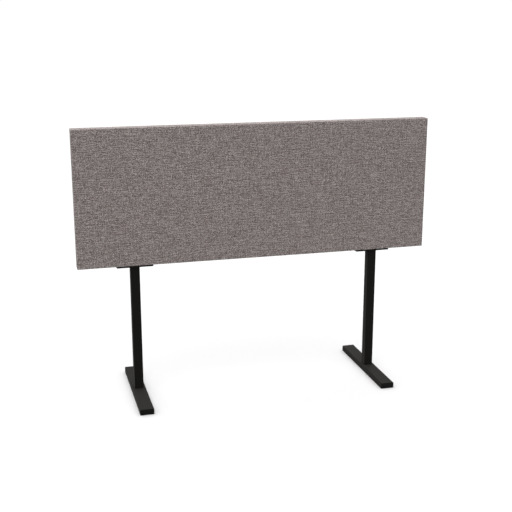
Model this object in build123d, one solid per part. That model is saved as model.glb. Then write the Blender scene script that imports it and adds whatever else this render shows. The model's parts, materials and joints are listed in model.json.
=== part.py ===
"""Free-standing acoustic divider screen: an upholstered sound-absorbing panel on two steel legs.

Millimetres. X runs along the panel, the front face looks towards -Y and Z is up. The origin is on the
floor, midway between the legs and midway through the panel's depth. "Left" is -X, "front" is -Y.
"""
from build123d import *
import os

os.makedirs("parts", exist_ok=True)

# Overall sizes
screen_width = 1600.0
screen_height = 1200.0
panel_height = 600.0
panel_depth = 56.0
leg_inset = 248.0

# Upholstery, from the outside in. The share is the rounding of the edges within the soft layers.
fabric_thickness = 1.2
wadding_thickness = 3.8
cover_edge_share = 0.6
hem_width = 16.0
closing_strip_width = 34.0
closing_strip_thickness = 1.0
closing_strip_end_margin = 8.0
closing_strip_corner_radius = 3.0

# Timber frame inside the panel
top_rail_height = 30.0
bottom_rail_height = 45.0
stile_width = 30.0
mullion_width = 30.0
dowel_diameter = 8.0
dowel_hole_skin = 5.0
dowel_spacing = 20.0
dowel_chamfer = 1.0
dowel_hole_clearance = 0.05
dowel_hole_spare_depth = 1.0

# Threads and holes shared by every bolt. The share sets how full the dome of a head is.
bolt_diameter = 8.0
bolt_head_diameter = 14.0
bolt_head_height = 4.4
bolt_crown_diameter = 7.2
bolt_shoulder_share = 0.78
bolt_socket_across_flats = 5.0
bolt_socket_depth = 2.6
bolt_tip_chamfer = 0.8
bolt_hole_clearance = 0.5
thread_clearance = 0.05
plate_bolt_spare_length = 1.8
foot_bolt_spare_length = 3.4

# Threaded inserts in the bottom rail
insert_diameter = 12.0
insert_length = 20.0
insert_flange_diameter = 15.0
insert_flange_thickness = 1.2
insert_hole_spare_depth = 3.0

# Mounting plate under the panel
mount_plate_length = 160.0
mount_plate_width = 50.0
mount_plate_thickness = 6.0
mount_plate_corner_radius = 4.0
mount_bolt_spacing = 124.0

# Square post and the plug plate welded into its foot end
post_size = 40.0
post_wall = 2.0
post_inside_corner_radius = 1.0
base_plate_thickness = 8.0
base_plate_fit = 0.1
foot_bolt_spacing = 20.0
washer_diameter = 16.0
washer_thickness = 1.6

# Folded steel foot, open underneath
foot_width = 60.0
foot_length = 510.0
foot_height = 25.0
foot_wall = 3.0
foot_inside_bend_radius = 1.0
foot_end_edge_radius = 1.2
foot_floor_gap = 1.5

# Levelling glides
glide_inset = 38.0
glide_pad_diameter = 40.0
glide_pad_top_diameter = 24.0
glide_pad_height = 6.0
glide_pad_rim_height = 2.6
glide_pad_floor_chamfer = 0.8
glide_socket_floor = 1.6
glide_running_clearance = 0.1
glide_axial_play = 0.2
screw_head_diameter = 11.0
screw_head_thickness = 2.5
screw_neck_diameter = 7.0
screw_hex_across_flats = 13.0
screw_hex_height = 3.5
screw_stop_clearance = 0.3
screw_top_clearance = 0.5
nut_plate_length = 36.0
nut_plate_thickness = 5.0

# How far cutting tools run past the faces they cut
overrun = 5.0

# Levels and sizes worked out from the values above
panel_bottom = screen_height - panel_height
leg_reach = screen_width / 2 - leg_inset
cover_bottom = panel_bottom + closing_strip_thickness
cover_height = screen_height - cover_bottom
lining = fabric_thickness + wadding_thickness
cover_edge_radius = cover_edge_share * lining
frame_width = screen_width - 2 * lining
frame_depth = panel_depth - 2 * lining
frame_bottom = cover_bottom + fabric_thickness
frame_top = screen_height - lining
stile_bottom = frame_bottom + bottom_rail_height
stile_top = frame_top - top_rail_height
dowel_length = 2 * (min(top_rail_height, bottom_rail_height) - dowel_hole_skin)
post_bore = post_size - 2 * post_wall
foot_top = foot_floor_gap + foot_height
foot_ceiling = foot_top - foot_wall
foot_inner_width = foot_width - 2 * foot_wall
mount_plate_bottom = panel_bottom - mount_plate_thickness
screw_hex_bottom = glide_pad_height + glide_axial_play
screw_hex_top = screw_hex_bottom + screw_hex_height
nut_plate_bottom = screw_hex_top + screw_stop_clearance
nut_plate_top = nut_plate_bottom + nut_plate_thickness
screw_top = foot_ceiling - screw_top_clearance
glide_travel = screw_top - nut_plate_top
glide_reach = foot_length / 2 - glide_inset

SIDES = {"left": -1, "right": 1}
ENDS = {"front": -1, "back": 1}
UPWARDS = (Align.CENTER, Align.CENTER, Align.MIN)
DOWNWARDS = (Align.CENTER, Align.CENTER, Align.MAX)

nodes = {}


def rounded_block(width, depth, height, radius):
    """A block standing on Z = 0 with every edge rounded."""
    block = Box(width, depth, height, align=UPWARDS)
    return fillet(block.edges(), radius)


def at_each(places, make):
    """One copy of a piece at each place, kept as separate solids."""
    return Compound([Pos(*place) * make() for place in places])


def drill(clearance, thickness):
    """Bolt hole through a layer that stands on Z = 0, run past both of its faces."""
    hole = Cylinder(bolt_diameter / 2 + clearance, thickness + 2 * overrun, align=UPWARDS)
    return Pos(0, 0, -overrun) * hole


def half_of_panel(end):
    """The half of the panel's space in front of or behind the seam."""
    half = Box(screen_width, panel_depth / 2, cover_height, align=UPWARDS)
    return Pos(0, end * panel_depth / 4, cover_bottom) * half


def cover_cavity():
    """What the fabric is stretched over: wadding and timber frame together."""
    cavity = rounded_block(
        screen_width - 2 * fabric_thickness,
        panel_depth - 2 * fabric_thickness,
        cover_height - 2 * fabric_thickness,
        cover_edge_radius - fabric_thickness,
    )
    return Pos(0, 0, frame_bottom) * cavity


def cover(end):
    """Half of the sewn cover: one face, half of each edge, and the hem turned in below."""
    block = rounded_block(screen_width, panel_depth, cover_height, cover_edge_radius)
    outside = Pos(0, 0, cover_bottom) * block
    mouth = Box(
        screen_width - 2 * hem_width,
        panel_depth - 2 * hem_width,
        2 * (fabric_thickness + overrun),
    )
    shell = outside - cover_cavity() - Pos(0, 0, cover_bottom) * mouth
    return shell & half_of_panel(end)


def wadding(end):
    """Half of the wadding: a soft sheet over one face, lapped over the top and the two sides."""
    frame_space = Box(frame_width, frame_depth, frame_top - cover_bottom, align=UPWARDS)
    return (cover_cavity() - Pos(0, 0, cover_bottom) * frame_space) & half_of_panel(end)


def bay_layout():
    """Centres of the upright members, centres of the bays between them, and the bay width."""
    mullion_names = ["left_mullion", "right_mullion"]
    bays = len(mullion_names) + 1
    bay_width = (frame_width - 2 * stile_width - len(mullion_names) * mullion_width) / bays
    left_bay = -frame_width / 2 + stile_width + bay_width / 2
    pitch = bay_width + mullion_width
    bay_centres = [left_bay + index * pitch for index in range(bays)]
    stile_reach = frame_width / 2 - stile_width / 2
    uprights = {"left_stile": (-stile_reach, stile_width), "right_stile": (stile_reach, stile_width)}
    for index, name in enumerate(mullion_names):
        uprights[name] = (bay_centres[index] + pitch / 2, mullion_width)
    return uprights, bay_centres, bay_width


uprights, bay_centres, bay_width = bay_layout()
joint_levels = [stile_bottom, stile_top]


def dowel():
    """Hardwood dowel with chamfered ends, centred on its joint."""
    peg = Cylinder(dowel_diameter / 2, dowel_length)
    return chamfer(peg.edges(), dowel_chamfer)


def dowel_places():
    """Two dowels side by side in every joint between a rail and an upright."""
    return [
        (centre, row * dowel_spacing / 2, level)
        for centre, _ in uprights.values()
        for level in joint_levels
        for row in ENDS.values()
    ]


def dowel_holes():
    """All dowel holes as one cutting tool."""
    hole_radius = dowel_diameter / 2 + dowel_hole_clearance
    hole_length = dowel_length + 2 * dowel_hole_spare_depth
    return at_each(dowel_places(), lambda: Cylinder(hole_radius, hole_length))


def mount_bolt_places(side, level):
    """The two bolts that hold one mounting plate, in line along the bottom rail."""
    centre = side * leg_reach
    return [(centre + step * mount_bolt_spacing / 2, 0, level) for step in SIDES.values()]


def insert_hole():
    """Blind hole for a threaded insert, with a shallow seat for its flange."""
    depth = insert_length + plate_bolt_spare_length + insert_hole_spare_depth
    seat = Cylinder(insert_flange_diameter / 2, insert_flange_thickness, align=UPWARDS)
    return Cylinder(insert_diameter / 2, depth, align=UPWARDS) + seat


def panel_insert():
    """Flanged threaded insert, flush with the underside of the bottom rail."""
    body = Cylinder(insert_diameter / 2, insert_length, align=UPWARDS)
    flange = Cylinder(insert_flange_diameter / 2, insert_flange_thickness, align=UPWARDS)
    return body + flange - drill(thread_clearance, insert_length)


def top_rail():
    rail = Box(frame_width, frame_depth, top_rail_height, align=DOWNWARDS)
    return Pos(0, 0, frame_top) * rail - dowel_holes()


def bottom_rail():
    rail = Pos(0, 0, frame_bottom) * Box(frame_width, frame_depth, bottom_rail_height, align=UPWARDS)
    rail -= dowel_holes()
    for side in SIDES.values():
        rail -= at_each(mount_bolt_places(side, frame_bottom), insert_hole)
    return rail


def upright(centre, width):
    """A stile or mullion between the two rails."""
    post = Box(width, frame_depth, stile_top - stile_bottom, align=UPWARDS)
    return Pos(centre, 0, stile_bottom) * post - dowel_holes()


def core_slab(centre):
    """Sound-absorbing slab that fills one bay of the frame."""
    slab = Box(bay_width, frame_depth, stile_top - stile_bottom, align=UPWARDS)
    return Pos(centre, 0, stile_bottom) * slab


def closing_strip():
    """Strip fixed over the raw hems under the panel, with a hole for every mounting bolt."""
    outline = RectangleRounded(
        screen_width - 2 * closing_strip_end_margin,
        closing_strip_width,
        closing_strip_corner_radius,
    )
    strip = Pos(0, 0, panel_bottom) * extrude(outline, closing_strip_thickness)
    for side in SIDES.values():
        holes = mount_bolt_places(side, panel_bottom)
        strip -= at_each(holes, lambda: drill(bolt_hole_clearance, closing_strip_thickness))
    return strip


def button_bolt(length):
    """Domed socket bolt. Its head hangs below Z = 0 and its shank rises above it."""
    head_radius = bolt_head_diameter / 2
    crown_radius = bolt_crown_diameter / 2
    shank_radius = bolt_diameter / 2
    with BuildPart() as bolt:
        with BuildSketch(Plane.XZ):
            with BuildLine():
                Polyline(
                    (head_radius, 0),
                    (shank_radius, 0),
                    (shank_radius, length - bolt_tip_chamfer),
                    (shank_radius - bolt_tip_chamfer, length),
                    (0, length),
                    (0, -bolt_head_height),
                    (crown_radius, -bolt_head_height),
                )
                ThreePointArc(
                    (crown_radius, -bolt_head_height),
                    (
                        crown_radius + (head_radius - crown_radius) * bolt_shoulder_share,
                        -bolt_head_height * (1 - bolt_shoulder_share / 2),
                    ),
                    (head_radius, 0),
                )
            make_face()
        revolve(axis=Axis.Z)
    socket_radius = bolt_socket_across_flats / 2
    socket = extrude(RegularPolygon(socket_radius, side_count=6, major_radius=False), bolt_socket_depth)
    return bolt.part - Pos(0, 0, -bolt_head_height) * socket


def mount_plate(side):
    """Flat plate welded across the top of a post."""
    outline = RectangleRounded(mount_plate_length, mount_plate_width, mount_plate_corner_radius)
    plate = extrude(outline, mount_plate_thickness)
    plate = Pos(side * leg_reach, 0, mount_plate_bottom) * plate
    holes = mount_bolt_places(side, mount_plate_bottom)
    return plate - at_each(holes, lambda: drill(bolt_hole_clearance, mount_plate_thickness))


def plate_bolts(side):
    length = (
        mount_plate_thickness
        + closing_strip_thickness
        + fabric_thickness
        + insert_length
        + plate_bolt_spare_length
    )
    return at_each(mount_bolt_places(side, mount_plate_bottom), lambda: button_bolt(length))


def post(side):
    """Square steel tube from the top of the foot to the mounting plate."""
    outside = RectangleRounded(post_size, post_size, post_inside_corner_radius + post_wall)
    section = outside - RectangleRounded(post_bore, post_bore, post_inside_corner_radius)
    return Pos(side * leg_reach, 0, foot_top) * extrude(section, mount_plate_bottom - foot_top)


def foot_bolt_places(side, level):
    """The two bolts that clamp a post to its foot, one in front of the other."""
    return [(side * leg_reach, end * foot_bolt_spacing / 2, level) for end in ENDS.values()]


def base_plate(side):
    """Thick plug welded inside the post's lower end, tapped for the foot bolts."""
    width = post_bore - 2 * base_plate_fit
    outline = RectangleRounded(width, width, post_inside_corner_radius)
    plug = Pos(side * leg_reach, 0, foot_top) * extrude(outline, base_plate_thickness)
    holes = foot_bolt_places(side, foot_top)
    return plug - at_each(holes, lambda: drill(thread_clearance, base_plate_thickness))


def foot(side):
    """Flat foot folded from sheet, with closed ends and an open underside."""
    shell = Box(foot_width, foot_length, foot_height, align=UPWARDS)
    long_top_edges = shell.edges().filter_by(Axis.Y).group_by(Axis.Z)[-1]
    shell = fillet(long_top_edges, foot_inside_bend_radius + foot_wall)
    end_edges = shell.edges().filter_by(Axis.Z)
    shell = fillet(end_edges, foot_end_edge_radius)
    hollow = Box(foot_inner_width, foot_length - 2 * foot_wall, foot_height - foot_wall, align=UPWARDS)
    hollow = fillet(hollow.edges().filter_by(Axis.Y).group_by(Axis.Z)[-1], foot_inside_bend_radius)
    shell = Pos(side * leg_reach, 0, foot_floor_gap) * (shell - hollow)
    holes = foot_bolt_places(side, foot_ceiling)
    return shell - at_each(holes, lambda: drill(bolt_hole_clearance, foot_wall))


def washer():
    """Plain washer standing on Z = 0."""
    ring = Cylinder(washer_diameter / 2, washer_thickness, align=UPWARDS)
    return ring - drill(bolt_hole_clearance, washer_thickness)


def foot_washers(side):
    return at_each(foot_bolt_places(side, foot_ceiling - washer_thickness), washer)


def foot_bolts(side):
    length = washer_thickness + foot_wall + base_plate_thickness + foot_bolt_spare_length
    level = foot_ceiling - washer_thickness
    return at_each(foot_bolt_places(side, level), lambda: button_bolt(length))


def glide_place(side, end, level=0):
    """Where a levelling glide stands under its foot."""
    return (side * leg_reach, end * glide_reach, level)


def nut_plate():
    """Tapped bar welded across the inside of the foot, which carries a glide's screw."""
    bar = Box(foot_inner_width, nut_plate_length, nut_plate_thickness, align=UPWARDS)
    return bar - drill(thread_clearance, nut_plate_thickness)


def nut_plates(side):
    places = [glide_place(side, end, nut_plate_bottom) for end in ENDS.values()]
    return at_each(places, nut_plate)


def glide_pad():
    """Moulded pad that stands on the floor, with a captive socket for the screw's head."""
    floor_radius = glide_pad_diameter / 2
    top_radius = glide_pad_top_diameter / 2
    socket_radius = screw_head_diameter / 2 + glide_running_clearance
    neck_radius = screw_neck_diameter / 2 + glide_running_clearance
    socket_top = glide_socket_floor + screw_head_thickness + 2 * glide_axial_play
    with BuildPart() as pad:
        with BuildSketch(Plane.XZ):
            with BuildLine():
                Polyline(
                    (0, 0),
                    (floor_radius - glide_pad_floor_chamfer, 0),
                    (floor_radius, glide_pad_floor_chamfer),
                    (floor_radius, glide_pad_rim_height),
                    (top_radius, glide_pad_height),
                    (neck_radius, glide_pad_height),
                    (neck_radius, socket_top),
                    (socket_radius, socket_top),
                    (socket_radius, glide_socket_floor),
                    (0, glide_socket_floor),
                    (0, 0),
                )
            make_face()
        revolve(axis=Axis.Z)
    return pad.part


def glide_screw():
    """Levelling screw: round head in the pad, neck, hexagon for a spanner, and thread."""
    head_bottom = glide_socket_floor + glide_axial_play
    head_top = head_bottom + screw_head_thickness
    head = Pos(0, 0, head_bottom) * Cylinder(screw_head_diameter / 2, screw_head_thickness, align=UPWARDS)
    neck_height = screw_hex_bottom - head_top
    neck = Pos(0, 0, head_top) * Cylinder(screw_neck_diameter / 2, neck_height, align=UPWARDS)
    hexagon = RegularPolygon(screw_hex_across_flats / 2, side_count=6, major_radius=False)
    collar = Pos(0, 0, screw_hex_bottom) * extrude(hexagon, screw_hex_height)
    thread = Cylinder(bolt_diameter / 2, screw_top - screw_hex_top, align=UPWARDS)
    thread = chamfer(thread.edges().group_by(Axis.Z)[-1], bolt_tip_chamfer)
    return head + neck + collar + Pos(0, 0, screw_hex_top) * thread


nodes["top_rail"] = top_rail()
nodes["bottom_rail"] = bottom_rail()
for name, (centre, width) in uprights.items():
    nodes[name] = upright(centre, width)
nodes["frame_dowels"] = at_each(dowel_places(), dowel)
for name, centre in zip(["left", "middle", "right"], bay_centres):
    nodes[f"{name}_core_slab"] = core_slab(centre)
for name, end in ENDS.items():
    nodes[f"{name}_wadding"] = wadding(end)
    nodes[f"{name}_cover"] = cover(end)
nodes["bottom_closing_strip"] = closing_strip()

for name, side in SIDES.items():
    nodes[f"{name}_panel_inserts"] = at_each(mount_bolt_places(side, frame_bottom), panel_insert)
    nodes[f"{name}_mount_plate"] = mount_plate(side)
    nodes[f"{name}_plate_bolts"] = plate_bolts(side)
    nodes[f"{name}_post"] = post(side)
    nodes[f"{name}_post_base_plate"] = base_plate(side)
    nodes[f"{name}_foot"] = foot(side)
    nodes[f"{name}_foot_washers"] = foot_washers(side)
    nodes[f"{name}_foot_bolts"] = foot_bolts(side)
    nodes[f"{name}_glide_nut_plates"] = nut_plates(side)
    for end_name, end in ENDS.items():
        place = Pos(*glide_place(side, end))
        nodes[f"{name}_{end_name}_glide_pad"] = place * glide_pad()
        nodes[f"{name}_{end_name}_glide_screw"] = place * glide_screw()

for name, shape in nodes.items():
    export_step(shape, f"parts/{name}.step")

print(f"{len(nodes)} nodes, glide travel {glide_travel:.3f} mm")
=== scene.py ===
"""Looks of the acoustic divider screen: sewn cloth, coated steel, glides, and the studio round them.

Metres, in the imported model's frame: X along the panel, the front face towards -Y, Z up from the floor.
"""
import json
import math

import bmesh
import bpy
from mathutils import Matrix, Vector, noise


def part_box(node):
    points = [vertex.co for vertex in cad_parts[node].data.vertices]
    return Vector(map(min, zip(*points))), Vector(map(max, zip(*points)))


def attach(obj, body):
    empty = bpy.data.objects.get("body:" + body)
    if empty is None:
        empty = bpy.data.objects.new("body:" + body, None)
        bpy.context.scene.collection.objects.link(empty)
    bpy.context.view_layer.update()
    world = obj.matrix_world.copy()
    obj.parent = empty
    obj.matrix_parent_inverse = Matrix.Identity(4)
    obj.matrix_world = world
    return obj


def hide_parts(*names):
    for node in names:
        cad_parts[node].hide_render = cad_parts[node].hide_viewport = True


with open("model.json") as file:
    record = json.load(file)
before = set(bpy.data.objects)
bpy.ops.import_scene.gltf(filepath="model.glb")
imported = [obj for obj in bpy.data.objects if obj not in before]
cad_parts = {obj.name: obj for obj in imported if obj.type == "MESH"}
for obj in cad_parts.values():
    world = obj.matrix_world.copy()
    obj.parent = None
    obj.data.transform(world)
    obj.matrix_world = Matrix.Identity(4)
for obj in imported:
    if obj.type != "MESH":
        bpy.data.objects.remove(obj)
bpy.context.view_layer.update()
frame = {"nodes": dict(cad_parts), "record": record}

MM = 0.001
SIDES = ("left", "right")
ENDS = {"front": -1, "back": 1}
DOWN = Vector((0, 0, -1))

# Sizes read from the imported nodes, so that every piece sits where the solids are
cover_low, cover_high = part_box("front_cover")
panel_half_width = cover_high.x
panel_half_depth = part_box("back_cover")[1].y
panel_bottom, panel_top = cover_low.z, cover_high.z
strip_low, strip_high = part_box("bottom_closing_strip")

# Sizes of the cover, and of the groove that its seam draws in
cloth_thickness = 1.2 * MM
edge_radius = 3.0 * MM
hem_width = 16 * MM
seam_depth = 1.7 * MM
seam_reach = 3.2 * MM
# Each half of the cover is cut at its own place on the roll, so that their threads don't mirror each other
place_on_roll = {-1: Vector((0.0, 0.0)), 1: Vector((2.31, 1.47))}

# Closer than this, two points of a mesh are one
same_spot = 1e-6


def new_object(name, data):
    """An object in the scene, at the origin."""
    made = bpy.data.objects.new(name, data)
    bpy.context.scene.collection.objects.link(made)
    return made


# camera, light and floor
def studio():
    """The camera of the photograph, an even white room, a soft lamp overhead and a pale floor."""
    # The camera that fits the edges of the panel, the posts and the feet
    focal_pixels, frame_pixels, sensor = 923.9, 512, 36.0
    pitch, yaw = math.radians(15.03), math.radians(15.148)
    eye = Vector((-1.0556, -3.8922, 1.6830))
    # Strength of the light from each side of the room, and of the white that the lens sees behind the screen
    ceiling, walls, left_wall, backdrop = 1.5, 0.41, 0.20, 1.02
    lamp_size, lamp_power = 3.4, 15
    lamp_place, lamp_aim = Vector((-1.6, -0.8, 4.0)), Vector((0, 0, 0.6))
    floor_half = 30.0
    floor_bounce, floor_white = 0.22, 0.90

    scene = bpy.context.scene
    lens = bpy.data.cameras.new("camera")
    lens.sensor_width = sensor
    lens.lens = focal_pixels / frame_pixels * sensor
    lens.clip_start, lens.clip_end = 0.05, 100
    camera = new_object("camera", lens)
    ahead = Vector((math.sin(yaw) * math.cos(pitch), math.cos(yaw) * math.cos(pitch), -math.sin(pitch)))
    right = Vector((math.cos(yaw), -math.sin(yaw), 0))
    turned = Matrix((right, right.cross(ahead), -ahead)).transposed().to_4x4()
    turned.translation = eye
    camera.matrix_world = turned
    scene.camera = camera
    scene.view_settings.view_transform = "Standard"

    world = bpy.data.worlds.new("white_room")
    world.use_nodes = True
    tree = world.node_tree
    tree.nodes.clear()
    ray = parts_of(tree, add(tree, "ShaderNodeTexCoord").outputs["Generated"])
    upward = calc(tree, "MAXIMUM", ray["Z"], 0.0)
    leftward = calc(tree, "MAXIMUM", times(tree, ray["X"], -1.0), 0.0)
    light = plus(tree, times(tree, upward, upward, ceiling), walls, times(tree, leftward, left_wall))
    lit = add(tree, "ShaderNodeBackground", {"Color": (1, 1, 1, 1), "Strength": light})
    seen = add(tree, "ShaderNodeBackground", {"Color": (1, 1, 1, 1), "Strength": backdrop})
    choose = add(tree, "ShaderNodeMixShader", {
        0: add(tree, "ShaderNodeLightPath").outputs["Is Camera Ray"], 1: lit.outputs[0], 2: seen.outputs[0],
    })
    add(tree, "ShaderNodeOutputWorld", {"Surface": choose.outputs[0]})
    scene.world = world

    lamp = bpy.data.lights.new("overhead_lamp", "AREA")
    lamp.shape = "DISK"
    lamp.size = lamp_size
    lamp.energy = lamp_power
    holder = new_object("overhead_lamp", lamp)
    holder.location = lamp_place
    holder.rotation_mode = "QUATERNION"
    holder.rotation_quaternion = (lamp_aim - lamp_place).to_track_quat("-Z", "Y")

    mesh = bpy.data.meshes.new("studio_floor")
    corners = [(x * floor_half, y * floor_half, 0) for x, y in ((-1, -1), (1, -1), (1, 1), (-1, 1))]
    mesh.from_pydata(corners, [], [(0, 1, 2, 3)])
    floor = new_object("studio_floor", mesh)
    finish, tree, surface = new_material("pale_floor", {"Roughness": 1.0, "Specular IOR Level": 0.0})
    # The lens sees a nearly white floor that takes soft shadows; it throws less light back on the screen
    seen = add(tree, "ShaderNodeLightPath").outputs["Is Camera Ray"]
    grey = blend_values(tree, seen, floor_bounce, floor_white)
    paint = add(tree, "ShaderNodeCombineColor", {"Red": grey, "Green": grey, "Blue": grey})
    feed(tree, surface["Base Color"], paint.outputs[0])
    mesh.materials.append(finish)


# small helpers for node trees
def new_material(name, standing):
    """A material with one Principled surface and its standing values; gives it, its tree and the sockets."""
    material = bpy.data.materials.new(name)
    material.use_nodes = True
    tree = material.node_tree
    tree.nodes.clear()
    surface = add(tree, "ShaderNodeBsdfPrincipled", standing)
    add(tree, "ShaderNodeOutputMaterial", {"Surface": surface.outputs["BSDF"]})
    return material, tree, surface.inputs


def new_group(name, inputs, outputs, kind="ShaderNodeTree"):
    """A node group with named sockets. An input is given by its standing value, or by its kind as a word."""
    group = bpy.data.node_groups.new(name, kind)
    for label, value in inputs.items():
        if isinstance(value, str):
            word = value
        elif isinstance(value, tuple):
            word = "Color" if len(value) == 4 else "Vector"
        else:
            word = type(value).__name__.capitalize()
        socket = group.interface.new_socket(label, in_out="INPUT", socket_type=f"NodeSocket{word}")
        if word != value:
            socket.default_value = value
    for label, word in outputs.items():
        group.interface.new_socket(label, in_out="OUTPUT", socket_type=f"NodeSocket{word}")
    return group, group.nodes.new("NodeGroupInput").outputs, group.nodes.new("NodeGroupOutput").inputs


def feed(tree, socket, value):
    """Links a socket to another one, or sets its value."""
    if isinstance(value, bpy.types.NodeSocket):
        tree.links.new(value, socket)
    else:
        socket.default_value = value


def add(tree, kind, sockets=None, **settings):
    """A node with its settings, and with values or links on its sockets."""
    node = tree.nodes.new(kind)
    for name, value in settings.items():
        setattr(node, name, value)
    for label, value in (sockets or {}).items():
        feed(tree, node.inputs[label], value)
    return node


def calc(tree, operation, *values, clamp=False):
    """A Math node's result."""
    sockets = dict(enumerate(values))
    return add(tree, "ShaderNodeMath", sockets, operation=operation, use_clamp=clamp).outputs[0]


def chain(tree, operation, values, clamp):
    """One operation over numbers in their order; only the last result is clamped."""
    result = values[0]
    for value in values[1:-1]:
        result = calc(tree, operation, result, value)
    return calc(tree, operation, result, values[-1], clamp=clamp)


def plus(tree, *values, clamp=False):
    return chain(tree, "ADD", values, clamp)


def minus(tree, *values, clamp=False):
    return chain(tree, "SUBTRACT", values, clamp)


def times(tree, *values, clamp=False):
    return chain(tree, "MULTIPLY", values, clamp)


def over(tree, first, second):
    return calc(tree, "DIVIDE", first, second)


def steep(tree, value, start, slope):
    """A share from 0 to 1 that begins to rise where the value passes its start."""
    return times(tree, minus(tree, value, start), slope, clamp=True)


def blend_values(tree, share, low, high):
    """A number that goes from low to high with the share."""
    return add(tree, "ShaderNodeMix", {0: share, 2: low, 3: high}, data_type="FLOAT").outputs[0]


def blend_colours(tree, share, low, high):
    """A colour that goes from low to high with the share."""
    return add(tree, "ShaderNodeMix", {0: share, 6: low, 7: high}, data_type="RGBA").outputs[2]


def vector_of(tree, x=0.0, y=0.0, z=0.0):
    """A vector from three numbers or sockets."""
    return add(tree, "ShaderNodeCombineXYZ", {0: x, 1: y, 2: z}).outputs[0]


def parts_of(tree, vector):
    """The X, Y and Z of a vector."""
    return add(tree, "ShaderNodeSeparateXYZ", {0: vector}).outputs


def vector_calc(tree, operation, first, second):
    """A Vector Math node's result; SCALE takes one number as its second value."""
    label = "Scale" if operation == "SCALE" else 1
    return add(tree, "ShaderNodeVectorMath", {0: first, label: second}, operation=operation).outputs[0]


def soft_noise(tree, place, scale, detail=2.0, roughness=0.5, dimensions="3D"):
    """Smooth noise around one half."""
    return add(tree, "ShaderNodeTexNoise", {
        "Vector": place, "Scale": scale, "Detail": detail, "Roughness": roughness,
    }, noise_dimensions=dimensions).outputs[0]


def thread_noise(tree, along, row, detail=2.0, roughness=0.5):
    """Smooth noise around one half, over a count along a thread and a count across the threads."""
    return soft_noise(tree, vector_of(tree, along, row), 1.0, detail, roughness, "2D")


def strayed(tree, place, scale, reach):
    """The place, moved to and fro by a soft noise."""
    sockets = {"Vector": place, "Scale": scale, "Detail": 1.0}
    drift = add(tree, "ShaderNodeTexNoise", sockets, noise_dimensions="2D").outputs["Color"]
    centred = vector_calc(tree, "SUBTRACT", drift, (0.5, 0.5, 0.5))
    return vector_calc(tree, "ADD", place, vector_calc(tree, "SCALE", centred, reach))


def put_out(tree, result, **values):
    """Sends values to a group's named results."""
    for label, value in values.items():
        feed(tree, result[label], value)


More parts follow.
